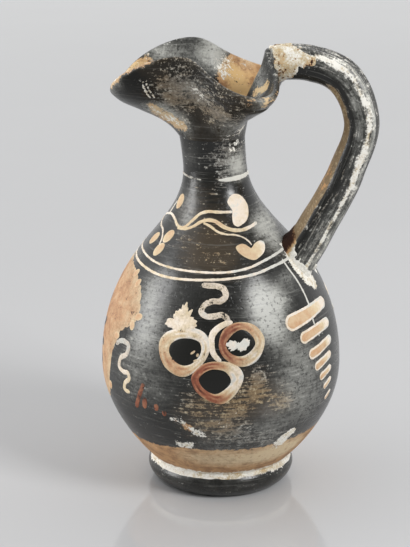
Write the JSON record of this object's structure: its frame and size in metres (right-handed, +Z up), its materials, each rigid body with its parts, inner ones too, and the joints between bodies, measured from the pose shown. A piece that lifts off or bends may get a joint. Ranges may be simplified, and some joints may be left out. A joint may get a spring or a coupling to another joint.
{
  "type": "trefoil wine jug",
  "caption": "Ovoid ceramic wine jug with a ring foot, narrow neck, three-lobed pouring mouth and a high strap handle, in black gloss with painted ornament.",
  "frame": {"origin": "centre of the foot's resting face", "axes": "+Z up, +X towards the handle, so that the spout points along -X"},
  "size_m": [0.1205, 0.106, 0.1977],
  "materials": {
    "black_gloss": "worn black slip gloss over orange fired clay, with reserved clay areas",
    "pale_slip": "matt cream clay slip with a lime crust",
    "added_cream": "matt cream, yellow, orange and red slip paint on the gloss"
  },
  "bodies": {
    "root": {"foot_ring": "black_gloss", "body": "black_gloss", "neck": "black_gloss", "mouth": "black_gloss", "handle": "black_gloss", "foot_joint_slip": "pale_slip", "neck_joint_slip": "pale_slip", "mouth_joint_slip": "pale_slip", "handle_root_slip": "pale_slip", "handle_base_slip": "pale_slip"}
  },
  "joints": []
}
